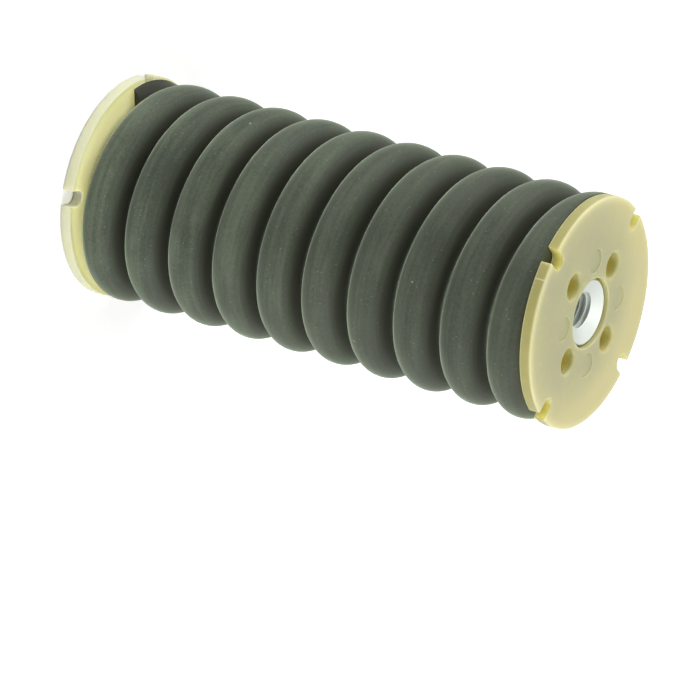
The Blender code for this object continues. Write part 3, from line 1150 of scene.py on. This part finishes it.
class MOUNT_OT_turn_bushes(bpy.types.Operator):
    """Turn and thread both metal bushes"""

    bl_idname = "mount.turn_bushes"
    bl_label = "Turn Bushes"

    def execute(self, context):
        settings = context.scene.mount_bush
        _, mottle = shared_groups()
        zinc = zinc_material(settings, mottle)
        for end, _, _, place in end_places(context.scene.mount_cap):
            bush = threaded_bush(settings)
            bmesh.ops.transform(bush, matrix=place, verts=bush.verts)
            new_piece(end + "_threaded_bush", bush, zinc, [end + "_bush"])
        return {"FINISHED"}


class MOUNT_OT_set_stage(bpy.types.Operator):
    """Set the camera, lamps, world and floor"""

    bl_idname = "mount.set_stage"
    bl_label = "Set Stage"

    def execute(self, context):
        settings = context.scene.mount_stage
        set_camera(settings)
        set_floor(settings)
        set_world()
        set_lamps()
        context.scene.view_settings.view_transform = "Standard"
        return {"FINISHED"}


def set_camera(settings):
    """Stand the camera where the photograph was taken."""
    data = bpy.data.cameras.new("camera")
    data.sensor_width = SENSOR_WIDTH
    data.lens = settings.lens
    data.clip_start, data.clip_end = CLIP_RANGE
    camera = in_scene("camera", data)
    tilt = Matrix.Rotation(pi / 2 - settings.camera_elevation, 4, "X")
    roll = Matrix.Rotation(settings.camera_roll, 4, "Z")
    camera.matrix_world = Matrix.Translation(settings.camera_place) @ tilt @ roll
    bpy.context.scene.camera = camera


def set_floor(settings):
    """Lay the floor just under the mount."""
    bm = bmesh.new()
    bmesh.ops.create_grid(bm, x_segments=2, y_segments=2, size=settings.floor_size / 2)
    bmesh.ops.translate(bm, vec=(0.0, 0.0, -FLOOR_GAP), verts=bm.verts)
    mesh = to_mesh("floor", bm)
    mesh.materials.append(floor_material(settings))
    in_scene("floor", mesh)


def set_lamps():
    """Hang the lamps, each turned towards the middle of the mount."""
    middle = Vector((0.0, 0.0, LENGTH / 2))
    for name, place, size, power in LAMPS:
        data = bpy.data.lights.new(name, "AREA")
        data.size = size
        data.energy = power
        turn = (middle - Vector(place)).to_track_quat("-Z", "Y").to_matrix().to_4x4()
        in_scene(name, data).matrix_world = Matrix.Translation(place) @ turn


def set_world():
    """Light the object dimly from all sides, in a room that the camera sees white."""
    world = bpy.data.worlds.new("pale_room")
    world.use_nodes = True
    tree = world.node_tree
    background = tree.nodes["Background"]
    background.inputs["Color"].default_value = WHITE
    strength = tree.nodes.new("ShaderNodeMapRange")
    tree.links.new(seen_directly(tree), strength.inputs["Value"])
    for socket, value in zip(("To Min", "To Max"), ROOM_LIGHT):
        strength.inputs[socket].default_value = value
    tree.links.new(strength.outputs["Result"], background.inputs["Strength"])
    bpy.context.scene.world = world


# Panel and registration


class MOUNT_PT_build(bpy.types.Panel):
    """Sidebar panel that lists the steps of the mount"""

    bl_label = "Anti-vibration Mount"
    bl_space_type = "VIEW_3D"
    bl_region_type = "UI"
    bl_category = "Mount"

    def draw(self, context):
        for name in STEPS:
            self.layout.operator("mount." + name)


SETTINGS = {
    "mount_coil": MountCoilSettings,
    "mount_cap": MountCapSettings,
    "mount_bush": MountBushSettings,
    "mount_stage": MountStageSettings,
}
STEPS = ["wind_coil", "mould_caps", "turn_bushes", "set_stage"]
CLASSES = [*SETTINGS.values(), MOUNT_OT_wind_coil, MOUNT_OT_mould_caps,
           MOUNT_OT_turn_bushes, MOUNT_OT_set_stage, MOUNT_PT_build]


def register():
    for cls in CLASSES:
        bpy.utils.register_class(cls)
    for name, cls in SETTINGS.items():
        setattr(bpy.types.Scene, name, PointerProperty(type=cls))


def unregister():
    for name in SETTINGS:
        delattr(bpy.types.Scene, name)
    for cls in reversed(CLASSES):
        bpy.utils.unregister_class(cls)


def main():
    register()
    for name in STEPS:
        getattr(bpy.ops.mount, name)()


if __name__ == "__main__":
    main()
